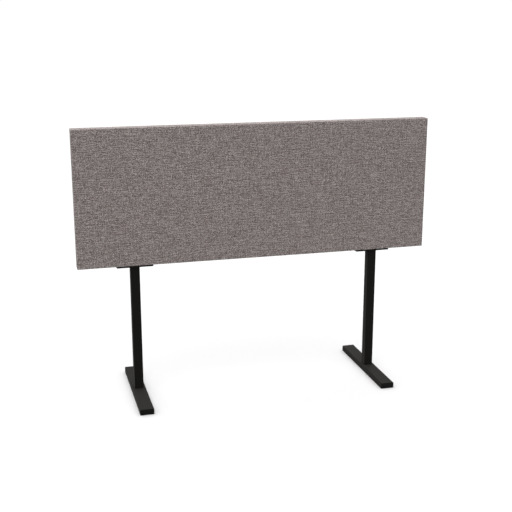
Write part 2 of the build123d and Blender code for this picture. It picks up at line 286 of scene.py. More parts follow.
# shared effects
def weave_group():
    """Plain weave of slubbed yarns: threads pass over and under, with twisted fibres and loose fuzz, and with
    painted shade between the threads and painted light on their crowns in the colour.
    """
    tree, given, result = new_group("melange_weave", {
        "Place": "Vector",
        "Weft Spacing": 2.0 * MM,
        "Warp Spacing": 2.4 * MM,
        "Slub Length": 30 * MM,
        "Fleck Length": 5 * MM,
        "Dark Yarn": (0.1, 0.1, 0.1, 1),
        "Middle Yarn": (0.2, 0.2, 0.2, 1),
        "Light Yarn": (0.4, 0.4, 0.4, 1),
        "Balance": 0.5,
        "Weft Contrast": 1.0,
        "Warp Contrast": 0.4,
        "Fleck": 0.4,
        "Fibre": 0.6,
        "Valley": 0.6,
        "Evenness": 0.3,
        "Weft Own Tone": 0.3,
        "Warp Own Tone": 0.3,
    }, {"Color": "Color", "Height": "Float"})
    # Scale and reach of a thread's wandering on the loom, and of its hairy edge
    wandering, hair = (70.0, 1.5 * MM), (700.0, 0.9 * MM)
    # How far apart neighbouring threads start on the noise, so that no two are alike
    start_spread, row_spread, fleck_row, tone_spread = 91.0, 3.73, 0.37, 53.0
    slub_detail, slub_roughness = 4.0, 0.7
    # The fibres' length along the yarn, their slant, and how many lie side by side
    fibre_length, fibre_slant, fibres_across, fibre_turn = 1.3 * MM, 1.6, 7.0, 0.9 * MM
    # Shape of a thread: how far its sides fall, and the heights of its body, its waves and its fibres
    side_fall, body_height, wave_height, fibre_height = 3.8, 0.62, 0.3, 0.22
    # How sharply one thread gives way to the other, and the painted light in the colour: painted shade where
    # little light reaches down between the threads, painted light on their crowns
    crossing_edge, painted_valley_light, painted_light_rise, painted_least_light = 5.0, 0.1, 1.15, 0.05

    place = parts_of(tree, strayed(tree, strayed(tree, given["Place"], *wandering), *hair))
    across_count = over(tree, place["X"], given["Warp Spacing"])
    along_count = over(tree, place["Y"], given["Weft Spacing"])
    tones, heights = [], []

    def slubs_of(thread, run):
        """One thread's start on the noise, its row there, its slow slubs, and the tone it has all along."""
        chance = add(tree, "ShaderNodeTexWhiteNoise", {"W": thread}, noise_dimensions="1D").outputs["Value"]
        offset = times(tree, chance, start_spread)
        row = times(tree, thread, row_spread)
        travel = plus(tree, over(tree, run, given["Slub Length"]), offset)
        slub = thread_noise(tree, travel, row, slub_detail, slub_roughness)
        own_tone = calc(tree, "FRACT", times(tree, chance, tone_spread))
        return offset, row, minus(tree, slub, 0.5), own_tone

    # Each direction: its run along the thread, the count that tells threads apart, and the crossings
    for run, count, crossing, contrast, own_contrast, first_up in (
        (place["X"], along_count, across_count, given["Weft Contrast"], given["Weft Own Tone"], 0.0),
        (place["Y"], across_count, along_count, given["Warp Contrast"], given["Warp Own Tone"], 1.0),
    ):
        thread = calc(tree, "FLOOR", count)
        offset, row, slub, own_tone = slubs_of(thread, run)
        next_slub, next_tone = slubs_of(plus(tree, thread, 1.0), run)[2:]
        # Mixed yarns even each other out, so a part of the next thread's tone is taken off this one's
        level = minus(tree, slub, times(tree, next_slub, given["Evenness"]))
        lone = times(tree, minus(tree, own_tone, next_tone), own_contrast)
        near = plus(tree, over(tree, run, given["Fleck Length"]), offset)
        fleck = thread_noise(tree, near, plus(tree, row, fleck_row), detail=1.0)
        flecks = times(tree, minus(tree, fleck, 0.5), given["Fleck"])
        tone = plus(tree, times(tree, level, contrast), lone, flecks)
        sideways = minus(tree, calc(tree, "FRACT", count), 0.5)
        # Fibres lie slantwise along the yarn, because it is twisted
        twisted = plus(tree, over(tree, run, fibre_length), times(tree, sideways, fibre_slant))
        turn = minus(tree, row, over(tree, run, fibre_turn))
        strand = plus(tree, times(tree, sideways, fibres_across), turn)
        fibre = minus(tree, thread_noise(tree, twisted, strand), 0.5)
        tones.append(plus(tree, tone, times(tree, fibre, given["Fibre"])))
        barrel = calc(tree, "SQRT", minus(tree, 1.0, times(tree, sideways, sideways, side_fall)))
        turns = plus(tree, minus(tree, plus(tree, crossing, thread), 0.5), first_up)
        wave = calc(tree, "COSINE", times(tree, turns, math.pi))
        heights.append(plus(tree, times(tree, barrel, body_height), times(tree, wave, wave_height),
                            times(tree, fibre, fibre_height)))
    weft, warp = heights
    height = calc(tree, "MAXIMUM", weft, warp)
    weft_shows = plus(tree, times(tree, minus(tree, weft, warp), crossing_edge), 0.5, clamp=True)
    tone = plus(tree, given["Balance"], blend_values(tree, weft_shows, tones[1], tones[0]), clamp=True)
    lower = blend_colours(tree, times(tree, tone, 2.0, clamp=True), given["Dark Yarn"], given["Middle Yarn"])
    upper_share = minus(tree, times(tree, tone, 2.0), 1.0, clamp=True)
    colour = blend_colours(tree, upper_share, lower, given["Light Yarn"])
    # Painted shade and light: the colour is darkened in the valleys between threads and lightened on their
    # crowns
    painted_light_factor = plus(tree, painted_valley_light, times(tree, height, painted_light_rise))
    light = blend_values(tree, given["Valley"], 1.0, painted_light_factor)
    put_out(tree, result, Height=height,
            Color=vector_calc(tree, "SCALE", colour, calc(tree, "MAXIMUM", light, painted_least_light)))
    return tree


def coat_group():
    """Fine matt texture of a baked powder coat, with faint dust and rubbed patches."""
    tree, given, result = new_group("powder_coat_skin", {
        "Place": "Vector",
        "Coat": (0.01, 0.01, 0.01, 1),
        "Rubbed": (0.02, 0.02, 0.02, 1),
        "Grain": 900.0,
        "Roughness": 0.7,
    }, {"Color": "Color", "Roughness": "Float", "Height": "Float"})
    patch_scale, patch_start, patch_slope, patch_share = 9.0, 0.45, 2.2, 0.5
    dust_scale, dust_from, dust_share = 420.0, 0.66, 0.18
    roughness_spread = 0.16
    place = given["Place"]
    cloud = soft_noise(tree, place, patch_scale, detail=3.0)
    rubbed = times(tree, steep(tree, cloud, patch_start, patch_slope), patch_share)
    speck = soft_noise(tree, place, dust_scale, detail=1.0)
    dust = times(tree, calc(tree, "GREATER_THAN", speck, dust_from), dust_share)
    share = plus(tree, rubbed, dust, clamp=True)
    spread = times(tree, minus(tree, cloud, 0.5), roughness_spread)
    put_out(tree, result, Color=blend_colours(tree, share, given["Coat"], given["Rubbed"]),
            Roughness=plus(tree, given["Roughness"], spread),
            Height=soft_noise(tree, place, given["Grain"]))
    return tree


def fibre_group():
    """Matted fibres, for felt, wadding and non-woven strip."""
    tree, given, result = new_group("matted_fibres", {
        "Place": "Vector",
        "Dark": (0.1, 0.1, 0.1, 1),
        "Light": (0.3, 0.3, 0.3, 1),
        "Fineness": 400.0,
    }, {"Color": "Color", "Height": "Float"})
    clump_scale, strand_share, clump_share, start, slope = 40.0, 0.7, 0.3, 0.35, 3.2
    strands = soft_noise(tree, given["Place"], given["Fineness"], detail=3.0)
    clumps = soft_noise(tree, given["Place"], clump_scale)
    mixed = plus(tree, times(tree, strands, strand_share), times(tree, clumps, clump_share))
    share = steep(tree, mixed, start, slope)
    put_out(tree, result, Color=blend_colours(tree, share, given["Dark"], given["Light"]), Height=strands)
    return tree


def metal_group():
    """Plated metal: fine turning lines, and patches where the finish is duller."""
    tree, given, result = new_group("worked_metal", {
        "Place": "Vector",
        "Bright": (0.6, 0.6, 0.62, 1),
        "Dull": (0.4, 0.4, 0.4, 1),
        "Roughness": 0.35,
    }, {"Color": "Color", "Roughness": "Float", "Height": "Float"})
    patch_scale, patch_start, patch_slope = 70.0, 0.35, 3.0
    line_stretch, line_scale, line_roughness = (0.15, 0.15, 1.0), 5200.0, 0.2
    patches = soft_noise(tree, given["Place"], patch_scale, detail=3.0)
    stretched = vector_calc(tree, "MULTIPLY", given["Place"], line_stretch)
    lines = soft_noise(tree, stretched, line_scale, detail=1.0)
    share = steep(tree, patches, patch_start, patch_slope)
    spread = times(tree, minus(tree, lines, 0.5), line_roughness)
    put_out(tree, result, Color=blend_colours(tree, share, given["Dull"], given["Bright"]),
            Roughness=plus(tree, given["Roughness"], spread), Height=lines)
    return tree


def grain_group():
    """Timber grain that runs along one axis: growth bands, fine pores."""
    tree, given, result = new_group("timber_grain", {
        "Place": "Vector",
        "Early Wood": (0.6, 0.4, 0.22, 1),
        "Late Wood": (0.4, 0.24, 0.12, 1),
        "Stretch": (0.06, 1.0, 1.0),
    }, {"Color": "Color", "Height": "Float"})
    wander_scale, wander_reach, rings_across, rings_up, ring_turns = 14.0, 7.0, 160.0, 60.0, 2.4
    pore_scale, ring_share, pore_share = 900.0, 0.6, 0.4
    pulled = vector_calc(tree, "MULTIPLY", given["Place"], given["Stretch"])
    wander = soft_noise(tree, pulled, wander_scale)
    spot = parts_of(tree, pulled)
    ring_place = plus(tree, times(tree, spot["Y"], rings_across), times(tree, spot["Z"], rings_up),
                      times(tree, wander, wander_reach))
    rings = times(tree, plus(tree, calc(tree, "SINE", times(tree, ring_place, ring_turns)), 1.0), 0.5)
    pores = soft_noise(tree, pulled, pore_scale)
    share = plus(tree, times(tree, rings, ring_share), times(tree, pores, pore_share), clamp=True)
    colour = blend_colours(tree, share, given["Early Wood"], given["Late Wood"])
    put_out(tree, result, Color=colour, Height=pores)
    return tree


# materials of this object
def make_finishes():
    """Every finish, by its name. Each takes its colour, relief and any roughness from one shared effect."""
    weave, coat, fibres = weave_group(), coat_group(), fibre_group()
    metal, grain = metal_group(), grain_group()
    warm_gloss = {"Specular Tint": (1.0, 0.97, 0.91, 1)}
    # A matt powder coat sends little light straight back, and a soft bloom of it towards a low eye
    bloom = {"Sheen Weight": 0.067, "Sheen Roughness": 0.55, "Sheen Tint": (1.0, 0.97, 0.92, 1)}
    softwood = {"Early Wood": (0.62, 0.43, 0.24, 1), "Late Wood": (0.42, 0.25, 0.12, 1)}
    made = {}
    # Name, effect and its values, the surface's own values, strength and depth in millimetres of the relief
    for name, effect, values, standing, strength, depth in (
        ("melange_cloth", weave, {
            "Weft Spacing": 2.2 * MM,
            "Warp Spacing": 2.6 * MM,
            "Slub Length": 42 * MM,
            "Fleck Length": 4.2 * MM,
            "Dark Yarn": (0.145, 0.116, 0.110, 1),
            "Middle Yarn": (0.343, 0.288, 0.276, 1),
            "Light Yarn": (0.87, 0.795, 0.77, 1),
            "Balance": 0.388,
            "Weft Contrast": 3.8,
            "Warp Contrast": 1.6,
            "Fleck": 2.25,
            "Fibre": 0.9,
            # Share of the painted shade between threads and painted light on their crowns
            "Valley": 0.7,
            "Evenness": 0.5,
            "Weft Own Tone": 0.32,
            "Warp Own Tone": 0.13,
        }, {
            "Roughness": 0.95, "Specular IOR Level": 0.15, "Sheen Weight": 0.12, "Sheen Roughness": 0.6,
        }, 0.7, 0.6),
        ("black_powder_coat", coat, {
            "Coat": (0.0055, 0.0053, 0.0049, 1), "Rubbed": (0.0085, 0.0082, 0.0077, 1), "Roughness": 0.74,
        }, {"Specular IOR Level": 0.17, **warm_gloss, **bloom}, 0.25, 0.06),
        ("black_oxide", coat, {
            "Coat": (0.012, 0.012, 0.013, 1), "Rubbed": (0.03, 0.029, 0.028, 1), "Roughness": 0.42,
        }, {"Specular IOR Level": 0.35, **warm_gloss}, 0.25, 0.05),
        ("moulded_nylon", coat, {
            "Coat": (0.012, 0.012, 0.0125, 1), "Rubbed": (0.03, 0.03, 0.03, 1),
            "Grain": 1500.0, "Roughness": 0.5,
        }, {}, 0.2, 0.04),
        ("bright_zinc", metal, {
            "Bright": (0.58, 0.59, 0.62, 1), "Dull": (0.36, 0.37, 0.38, 1), "Roughness": 0.34,
        }, {"Metallic": 1.0}, 0.15, 0.03),
        ("absorber_felt", fibres, {
            "Dark": (0.06, 0.065, 0.072, 1), "Light": (0.24, 0.25, 0.26, 1), "Fineness": 600.0,
        }, {"Roughness": 1.0}, 0.5, 0.3),
        ("white_wadding", fibres, {
            "Dark": (0.62, 0.62, 0.6, 1), "Light": (0.86, 0.86, 0.84, 1), "Fineness": 500.0,
        }, {"Roughness": 1.0}, 0.5, 0.3),
        ("black_nonwoven", fibres, {
            "Dark": (0.008, 0.008, 0.008, 1), "Light": (0.035, 0.035, 0.036, 1), "Fineness": 1100.0,
        }, {"Roughness": 0.85}, 0.5, 0.3),
        ("rail_timber", grain, {**softwood, "Stretch": (0.06, 1.0, 1.0)}, {"Roughness": 0.65}, 0.2, 0.1),
        ("upright_timber", grain, {**softwood, "Stretch": (1.0, 1.0, 0.06)}, {"Roughness": 0.65}, 0.2, 0.1),
        ("dowel_timber", grain, {
            "Early Wood": (0.66, 0.5, 0.32, 1), "Late Wood": (0.52, 0.37, 0.22, 1),
            "Stretch": (1.0, 1.0, 0.1),
        }, {"Roughness": 0.65}, 0.2, 0.1),
    ):
        material, tree, surface = new_material(name, standing)
        # The weave follows the unrolled cloth, in metres, and every other pattern the object
        if effect is weave:
            place = add(tree, "ShaderNodeUVMap", uv_map="cloth").outputs["UV"]
        else:
            place = add(tree, "ShaderNodeTexCoord").outputs["Object"]
        skin = add(tree, "ShaderNodeGroup", {"Place": place, **values}, node_tree=effect).outputs
        feed(tree, surface["Base Color"], skin["Color"])
        if "Roughness" in skin:
            feed(tree, surface["Roughness"], skin["Roughness"])
        relief = {"Strength": strength, "Distance": depth * MM, "Height": skin["Height"]}
        feed(tree, surface["Normal"], add(tree, "ShaderNodeBump", relief).outputs["Normal"])
        made[name] = material

    material, tree, surface = new_material("sewing_thread", {"Roughness": 0.7})
    strand_scale, dark_strand, light_strand = 3000.0, (0.12, 0.105, 0.1, 1), (0.26, 0.235, 0.225, 1)
    strand = soft_noise(tree, add(tree, "ShaderNodeTexCoord").outputs["Object"], strand_scale)
    feed(tree, surface["Base Color"], blend_colours(tree, strand, dark_strand, light_strand))
    made["sewing_thread"] = material
    return made


# mesh helpers
def new_piece(mesh, finish, body="screen", in_place_of=None):
    """Links a mesh, under its own name, as a smooth piece that rides on a body and may stand for a solid."""
    mesh.materials.clear()
    mesh.materials.append(finishes[finish])
    for polygon in mesh.polygons:
        polygon.use_smooth = True
        polygon.material_index = 0
    piece = new_object(mesh.name, mesh)
    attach(piece, body)
    if in_place_of:
        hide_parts(in_place_of)
    return piece


def finished(name, work):
    """The mesh of a bmesh that needs no more work."""
    mesh = bpy.data.meshes.new(name)
    work.to_mesh(mesh)
    work.free()
    return mesh


def settled(name, holder):
    """The plain mesh that an object comes to with its curve or modifiers; the object goes."""
    bpy.context.view_layer.update()
    graph = bpy.context.evaluated_depsgraph_get()
    mesh = bpy.data.meshes.new_from_object(holder.evaluated_get(graph))
    mesh.name = name
    bpy.data.objects.remove(holder)
    return mesh


def smooth_by_angle(mesh, degrees):
    """Marks the edges that are sharper than an angle, so that smooth shading keeps them crisp."""
    work = bmesh.new()
    work.from_mesh(mesh)
    for edge in work.edges:
        edge.smooth = not (edge.is_manifold and edge.calc_face_angle(0) > math.radians(degrees))
    work.to_mesh(mesh)
    work.free()


def round_angles(count):
    """Even steps round a circle."""
    return [2 * math.pi * k / count for k in range(count)]


def skinned(name, rings):
    """A closed mesh over rings of points that follow each other; a ring of one point is a tip."""
    work = bmesh.new()
    rings = [[work.verts.new(spot) for spot in ring] for ring in rings]
    for first, second in zip(rings, rings[1:]):
        count = max(len(first), len(second))
        for k in range(count):
            n = (k + 1) % count
            corners = [ring[i % len(ring)] for ring, i in ((first, k), (first, n), (second, n), (second, k))]
            work.faces.new(list(dict.fromkeys(corners)))
    for cap in (rings[0][::-1], rings[-1]):
        if len(cap) > 1:
            work.faces.new(cap)
    bmesh.ops.recalc_face_normals(work, faces=work.faces)
    return finished(name, work)


def lines_between(low, high, step, edge, edge_cells=5):
    """Grid lines from low to high, close together within an edge's width of both ends."""
    near = [low + edge * i / edge_cells for i in range(edge_cells)]
    far = [high - edge * i / edge_cells for i in range(edge_cells)]
    inner_low, inner_high = low + edge, high - edge
    count = max(1, round((inner_high - inner_low) / step))
    middle = [inner_low + (inner_high - inner_low) * i / count for i in range(count + 1)]
    return near + middle + far[::-1]


def netted(work, s_lines, t_lines, spot, skip=None):
    """Faces over two sets of lines, each with the two lines' values at its corners."""
    net = [[work.verts.new(spot(s, t)) for t in t_lines] for s in s_lines]
    faces = []
    for i in range(len(s_lines) - 1):
        for j in range(len(t_lines) - 1):
            if skip and skip((s_lines[i] + s_lines[i + 1]) / 2, (t_lines[j] + t_lines[j + 1]) / 2):
                continue
            corners = [(i, j), (i + 1, j), (i + 1, j + 1), (i, j + 1)]
            face = work.faces.new([net[a][b] for a, b in corners])
            faces.append((face, [(s_lines[a], t_lines[b]) for a, b in corners]))
    return faces


def kept_between(point, low, high):
    """The nearest point of a box."""
    return Vector([min(max(point[i], low[i]), high[i]) for i in range(3)])


def rounded(point, low, high, radius):
    """Moves a point of a box's surface onto the same box with rounded edges."""
    reach = Vector((radius, radius, radius))
    inner = kept_between(point, low + reach, high - reach)
    out = point - inner
    if out.length < same_spot:
        return point.copy(), Vector((0, 0, 0))
    out.normalize()
    return inner + out * radius, out


def rounded_outline(half_x, half_y, radius, turns):
    """Points round a flat rectangle with round corners, each with its outward direction."""
    outline = []
    for quarter, (sx, sy) in enumerate(((1, 1), (-1, 1), (-1, -1), (1, -1))):
        centre = Vector((sx * (half_x - radius), sy * (half_y - radius), 0))
        for i in range(turns + 1):
            angle = math.radians(90 * (quarter + i / turns))
            out = Vector((math.cos(angle), math.sin(angle), 0))
            outline.append((centre + out * radius, out))
    return outline


# upholstery
def close_sheet(work, cloth_map, inner_spots):
    """Adds the inner side and the rim to an open sheet, so that it is one closed shell of real thickness."""

    def mapped(loops):
        return [(loop.vert, loop[cloth_map].uv.copy()) for loop in loops]

    sides = [mapped(face.loops) for face in work.faces]
    rims = [mapped((loop, loop.link_loop_next)) for face in work.faces for loop in face.loops
            if loop.edge.is_boundary]
    inner = {vertex: work.verts.new(spot) for vertex, spot in inner_spots.items()}
    walls = [[(inner[vertex], place) for vertex, place in side[::-1]] for side in sides]
    walls += [[(b, b_place), (a, a_place), (inner[a], a_place), (inner[b], b_place)]
              for (a, a_place), (b, b_place) in rims]
    for wall in walls:
        face = work.faces.new([vertex for vertex, _ in wall])
        for loop, (_, place) in zip(face.loops, wall):
            loop[cloth_map].uv = place
    bmesh.ops.remove_doubles(work, verts=list(inner.values()), dist=same_spot)


def wrapped_sheet(name, end, inset, thickness, mouth_width=0.0, ripple=0.0, bedded=False):
    """Half of a soft layer wrapped round the panel: a face, half of the top and sides, and any hem below.

    The flat cut is kept as a map in metres, so that the weave runs over the edges as on real cloth. A bedded
    layer lies on the square timber frame and fills the room above it, and any other keeps its thickness.
    """
    face_step, depth_step, edge_cells, seam_cells = 11 * MM, 4 * MM, 5, 6
    # Lengths of the cloth's slow sway and of its small tucks, and the tucks' share of the ripple
    sway_x, sway_z, tuck, tuck_y, tuck_share = 0.16, 0.12, 0.035, 0.05, 0.35
    sway_start, tuck_start = end * 7.0, end * 3.0
    room = Vector((inset, inset, inset))
    low = Vector((-panel_half_width, -panel_half_depth, panel_bottom)) + room
    high = Vector((panel_half_width, panel_half_depth, panel_top)) - room
    radius = edge_radius - inset
    depth = high.y
    face_y = end * depth
    x_lines = lines_between(low.x, high.x, face_step, radius)
    z_lines = lines_between(low.z, high.z, face_step, radius)
    plain = depth - radius - seam_reach
    plain_cells = max(2, round(plain / depth_step))
    from_face = [radius * i / edge_cells for i in range(edge_cells)]
    from_face += [radius + plain * i / plain_cells for i in range(plain_cells)]
    from_face += [depth - seam_reach + seam_reach * i / seam_cells for i in range(seam_cells + 1)]
    y_lines = [face_y - end * d for d in from_face]

    work = bmesh.new()
    cloth_map = work.loops.layers.uv.new("cloth")

    def patch(s_lines, t_lines, spot, unrolled, skip=None):
        for face, places in netted(work, s_lines, t_lines, spot, skip):
            for loop, place in zip(face.loops, places):
                loop[cloth_map].uv = Vector(unrolled(*place)) + place_on_roll[end]

    patch(x_lines, z_lines, lambda x, z: (x, face_y, z), lambda x, z: (x, z))
    patch(x_lines, y_lines, lambda x, y: (x, y, high.z), lambda x, y: (x, high.z + abs(y - face_y)))
    for edge_x in (low.x, high.x):
        patch(y_lines, z_lines, lambda y, z: (edge_x, y, z),
              lambda y, z: (edge_x + math.copysign(abs(y - face_y), edge_x), z))
    if mouth_width:
        hem_lines = sorted(set(x_lines + [low.x + mouth_width, high.x - mouth_width]))
        hem_depths = sorted(set(from_face + [mouth_width]))
        patch(hem_lines, [face_y - end * d for d in hem_depths], lambda x, y: (x, y, low.z),
              lambda x, y: (x, low.z - abs(y - face_y)),
              lambda x, y: abs(y - face_y) > mouth_width and abs(x) < high.x - mouth_width)
    bmesh.ops.remove_doubles(work, verts=work.verts, dist=same_spot)
    bmesh.ops.delete(work, geom=[v for v in work.verts if not v.link_faces], context="VERTS")

    bed_low = low + Vector((thickness, thickness, 0))
    bed_high = high - Vector((thickness, thickness, thickness))
    inner_spots = {}
    for vertex in work.verts:
        bed = kept_between(vertex.co, bed_low, bed_high)
        seam_distance = abs(vertex.co.y)
        spot, outwards = rounded(vertex.co, low, high, radius)
        sway = noise.noise(Vector((spot.x / sway_x, sway_start, spot.z / sway_z)))
        tucks = noise.noise(Vector((spot.x / tuck, tuck_start + spot.y / tuck_y, spot.z / tuck)))
        spot += outwards * ripple * (sway + tuck_share * tucks)
        if seam_distance < seam_reach:
            spot -= outwards * seam_depth * (1 - seam_distance / seam_reach) ** 2
        vertex.co = spot
        inner_spots[vertex] = bed if bedded else spot - outwards * thickness
    bmesh.ops.recalc_face_normals(work, faces=work.faces)
    centre = Vector((0, 0, (low.z + high.z) / 2))
    face = max(work.faces, key=lambda f: f.calc_area())
    if face.normal.dot(face.calc_center_median() - centre) < 0:
        bmesh.ops.reverse_faces(work, faces=work.faces)
    close_sheet(work, cloth_map, inner_spots)
    return finished(name, work)


def make_covers():
    """The two halves of the sewn cover, which meet at the seam round the panel's edges."""
    ripple = 0.3 * MM
    for name, end in ENDS.items():
        mesh = wrapped_sheet(f"{name}_cover_cloth", end, 0.0, cloth_thickness, hem_width, ripple)
        cloth = new_piece(mesh, "melange_cloth", in_place_of=f"{name}_cover")


def make_wadding():
    """Batts that soften the frame under the cover, pressed thinner under its seam."""
    gap, play = 0.25 * MM, 0.05 * MM
    frame_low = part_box("bottom_rail")[0]
    inset = cloth_thickness + gap
    thickness = panel_half_depth + frame_low.y - inset - play
    for name, end in ENDS.items():
        mesh = wrapped_sheet(f"{name}_wadding_batt", end, inset, thickness, bedded=True)
        batt = new_piece(mesh, "white_wadding", in_place_of=f"{name}_wadding")


def make_slabs():
    """Felt slabs with slightly crushed edges, one in each bay of the frame."""
    play, radius, step, edge_cells = Vector((0.4, 0.3, 0.4)) * MM, 4 * MM, 22 * MM, 3
    crush, crush_scale = 0.3 * MM, 30.0
    for name in ("left", "middle", "right"):
        low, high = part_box(f"{name}_core_slab")
        low, high = low + play, high - play
        work = bmesh.new()
        lines = [lines_between(low[i], high[i], step, radius, edge_cells) for i in range(3)]
        for axis in range(3):
            first, second = [i for i in range(3) if i != axis]
            for level in (low[axis], high[axis]):

                def spot(s, t):
                    place = Vector((level, level, level))
                    place[first], place[second] = s, t
                    return place

                netted(work, lines[first], lines[second], spot)
        bmesh.ops.remove_doubles(work, verts=work.verts, dist=same_spot)
        for vertex in work.verts:
            place, outwards = rounded(vertex.co, low, high, radius)
            vertex.co = place - outwards * crush * (1 + noise.noise(place * crush_scale))
        bmesh.ops.recalc_face_normals(work, faces=work.faces)
        mesh = finished(f"{name}_felt_slab", work)
        slab = new_piece(mesh, "absorber_felt", in_place_of=f"{name}_core_slab")


def make_closing_strip():
    """Non-woven strip over the hems, with a rounded outline and a clear hole for every bolt."""
    skin, corner_radius, corner_turns = 0.12 * MM, 3 * MM, 6
    hole_radius, hole_sides, crisp_angle = 4.6 * MM, 24, 30
    outline = bpy.data.curves.new("closing_strip_outline", "CURVE")
    outline.dimensions = "2D"
    outline.fill_mode = "BOTH"
    outline.extrude = (strip_high.z - strip_low.z) / 2 - skin
    outline.bevel_depth = skin
    outline.bevel_resolution = 1

    def closed_loop(points):
        spline = outline.splines.new("POLY")
        spline.points.add(len(points) - 1)
        for point, (x, y) in zip(spline.points, points):
            point.co = (x, y, 0, 1)
        spline.use_cyclic_u = True

    rim = rounded_outline(strip_high.x - skin, strip_high.y - skin, corner_radius, corner_turns)
    closed_loop([point.xy for point, _ in rim])
    for side in SIDES:
        low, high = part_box(f"{side}_plate_bolts")
        head = (high.y - low.y) / 2
        for x in (low.x + head, high.x - head):
            closed_loop([(x + hole_radius * math.cos(a), -hole_radius * math.sin(a))
                         for a in round_angles(hole_sides)])
    mesh = settled("closing_strip_cloth", new_object("closing_strip_outline", outline))
    mesh.transform(Matrix.Translation((0, 0, (strip_low.z + strip_high.z) / 2)))
    work = bmesh.new()
    work.from_mesh(mesh)
    bmesh.ops.remove_doubles(work, verts=work.verts, dist=same_spot)
    bmesh.ops.recalc_face_normals(work, faces=work.faces)
    work.to_mesh(mesh)
    work.free()
    smooth_by_angle(mesh, crisp_angle)
    strip = new_piece(mesh, "black_nonwoven", in_place_of="bottom_closing_strip")


# what repeats along a path
def along_path_tree():
    """Geometry Nodes: one small piece, repeated at an even spacing along a path, with a little unevenness."""
    tree, given, result = new_group("repeat_along_path", {
        "Path": "Geometry",
        "Piece": "Object",
        "Spacing": 4 * MM,
        "Slant": 0.0,
        "Unevenness": 0.0,
        "Seed": 1,
        "Finish": "Material",
    }, {"Geometry": "Geometry"}, "GeometryNodeTree")
    route = add(tree, "GeometryNodeMeshToCurve", {"Mesh": given["Path"]}).outputs[0]
    even = {"Curve": route, "Length": given["Spacing"]}
    spots = add(tree, "GeometryNodeCurveToPoints", even, mode="LENGTH").outputs
    kept = add(tree, "GeometryNodeStoreNamedAttribute", {
        "Geometry": spots["Points"], "Name": "along", "Value": spots["Tangent"],
    }, data_type="FLOAT_VECTOR", domain="POINT")

    def carried(name):
        """A vector that every point carries under a name."""
        node = add(tree, "GeometryNodeInputNamedAttribute", {"Name": name}, data_type="FLOAT_VECTOR")
        return node.outputs["Attribute"]

    facing = add(tree, "FunctionNodeAxesToRotation", {
        "Primary Axis": carried("along"), "Secondary Axis": carried("outwards"),
    }, primary_axis="X", secondary_axis="Z")
    chance = add(tree, "FunctionNodeRandomValue", {
        0: (-1.0, -1.0, -1.0), 1: (1.0, 1.0, 1.0), "Seed": given["Seed"],
    }, data_type="FLOAT_VECTOR")
    uneven = vector_calc(tree, "SCALE", chance.outputs[0], given["Unevenness"])
    slanted = vector_calc(tree, "ADD", uneven, vector_of(tree, 0.0, 0.0, given["Slant"]))
    turned = add(tree, "FunctionNodeRotateRotation", {
        "Rotation": facing.outputs[0],
        "Rotate By": add(tree, "FunctionNodeEulerToRotation", {"Euler": slanted}).outputs[0],
    }, rotation_space="LOCAL")
    model = add(tree, "GeometryNodeObjectInfo", {"Object": given["Piece"]})
    placed = add(tree, "GeometryNodeInstanceOnPoints", {
        "Points": kept.outputs[0], "Instance": model.outputs["Geometry"], "Rotation": turned.outputs[0],
    })
    whole = add(tree, "GeometryNodeRealizeInstances", {"Geometry": placed.outputs["Instances"]})
    finish = {"Geometry": whole.outputs[0], "Material": given["Finish"]}
    put_out(tree, result, Geometry=add(tree, "GeometryNodeSetMaterial", finish).outputs[0])
    return tree


def repeat_along(name, runs, model, finish, spacing, unevenness, seed, slant=0.0):
    """A piece made of one model repeated along runs; each run is a list of (place, outward direction)."""
    path = bpy.data.meshes.new(f"{name}_path")
    places, edges, outs = [], [], []
    for run in runs:
        start = len(places)
        places += [tuple(place) for place, _ in run]
        outs += [out for _, out in run]
        edges += [(start + i, start + i + 1) for i in range(len(run) - 1)]
    path.from_pydata(places, edges, [])
    layer = path.attributes.new("outwards", "FLOAT_VECTOR", "POINT")
    for item, out in zip(layer.data, outs):
        item.vector = out
    holder = new_object(f"{name}_path", path)
    source = new_object(f"{name}_model", model.copy())
    modifier = holder.modifiers.new("repeat", "NODES")
    modifier.node_group = path_tree
    values = {"Piece": source, "Spacing": spacing, "Slant": slant, "Unevenness": unevenness, "Seed": seed,
              "Finish": finishes[finish]}
    for item in path_tree.interface.items_tree:
        if item.in_out == "INPUT" and item.name in values:
            modifier[item.identifier] = values[item.name]
    holder.update_tag()
    mesh = settled(name, holder)
    bpy.data.objects.remove(source)
    new_piece(mesh, finish)


def swept_wire(points, radius, sides=6):
    """A round wire along X with closed ends, in millimetres, from points of (x, z, share of the radius)."""
    spots = [Vector((x, 0, z)) for x, z, _ in points]
    across = Vector((0, 1, 0))
    rings = []
    for index, spot in enumerate(spots):
        before, after = spots[max(index - 1, 0)], spots[min(index + 1, len(spots) - 1)]
        up = (after - before).cross(across).normalized()
        reach = radius * points[index][2]
        rings.append([
            (spot + (across * math.cos(a) + up * math.sin(a)) * reach) * MM for a in round_angles(sides)
        ])
    return skinned("wire", rings)


def make_seam_stitches():
    """Short bridging stitches that show in the groove of the seam round the panel."""
    sunk_share, corner_turns, start_height = 0.72, 6, 2 * MM
    spacing, unevenness, seed, slant = 3.4 * MM, 0.05, 4, 0.16
    dip = seam_depth * sunk_share
    half_x, top, low_z = panel_half_width - dip, panel_top - dip, panel_bottom + start_height
    radius = edge_radius - dip
    run = [(Vector((-half_x, 0, low_z)), Vector((-1, 0, 0)))]
    for side, first_angle in ((-1, 180), (1, 90)):
        for i in range(corner_turns + 1):
            angle = math.radians(first_angle - 90 * i / corner_turns)
            out = Vector((math.cos(angle), 0, math.sin(angle)))
            run.append((Vector((side * (half_x - radius), 0, top - radius)) + out * radius, out))
    run.append((Vector((half_x, 0, low_z)), Vector((1, 0, 0))))
    stitch = swept_wire([(-1.25, -0.45, 0.7), (-0.9, 0.05, 1.0), (0.0, 0.16, 1.1), (0.9, 0.05, 1.0),
                         (1.25, -0.45, 0.7)], 0.24)
    repeat_along("cover_seam_stitches", [run], stitch, "sewing_thread",
                 spacing, unevenness, seed, slant)


